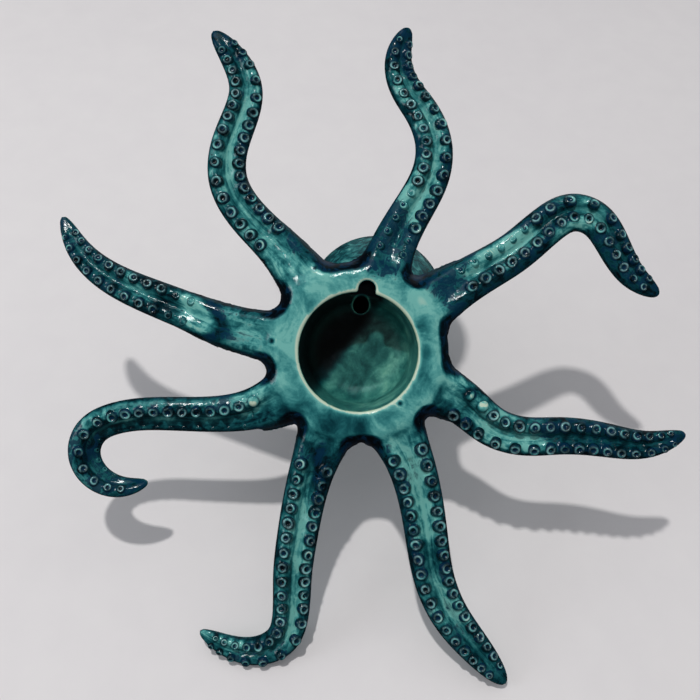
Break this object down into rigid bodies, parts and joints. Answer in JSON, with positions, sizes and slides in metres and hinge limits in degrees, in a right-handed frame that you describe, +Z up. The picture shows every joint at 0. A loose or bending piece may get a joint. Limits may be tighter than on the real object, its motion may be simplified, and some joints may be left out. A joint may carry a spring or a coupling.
{
  "type": "octopus wall figurine",
  "caption": "Glazed ceramic octopus that hangs on a wall by a round notch in its open back, with spread curling arms, rows of suckers and a hollow head.",
  "frame": {"origin": "centre of the round back opening, in the flat of its rim, where the object meets the wall", "axes": "+Z up as it hangs, +Y out of the opening into the wall, +X to the left in the picture's view of the back"},
  "size_m": [0.2651, 0.1224, 0.2788],
  "materials": {
    "celadon_glaze": "glossy",
    "teal_glaze": "glossy",
    "sucker_glaze": "glossy",
    "eye_glaze": "glossy"
  },
  "bodies": {
    "root": {"head_shell": "celadon_glaze", "mantle_shell": "teal_glaze", "arm_1": "teal_glaze", "arm_2": "teal_glaze", "arm_3": "teal_glaze", "arm_4": "teal_glaze", "arm_5": "teal_glaze", "arm_6": "teal_glaze", "arm_7": "teal_glaze", "arm_8": "teal_glaze", "suckers_1": "sucker_glaze", "suckers_2": "sucker_glaze", "suckers_3": "sucker_glaze", "suckers_4": "sucker_glaze", "suckers_5": "sucker_glaze", "suckers_6": "sucker_glaze", "suckers_7": "sucker_glaze", "suckers_8": "sucker_glaze", "eye_left": "eye_glaze", "eye_right": "eye_glaze"}
  },
  "joints": []
}
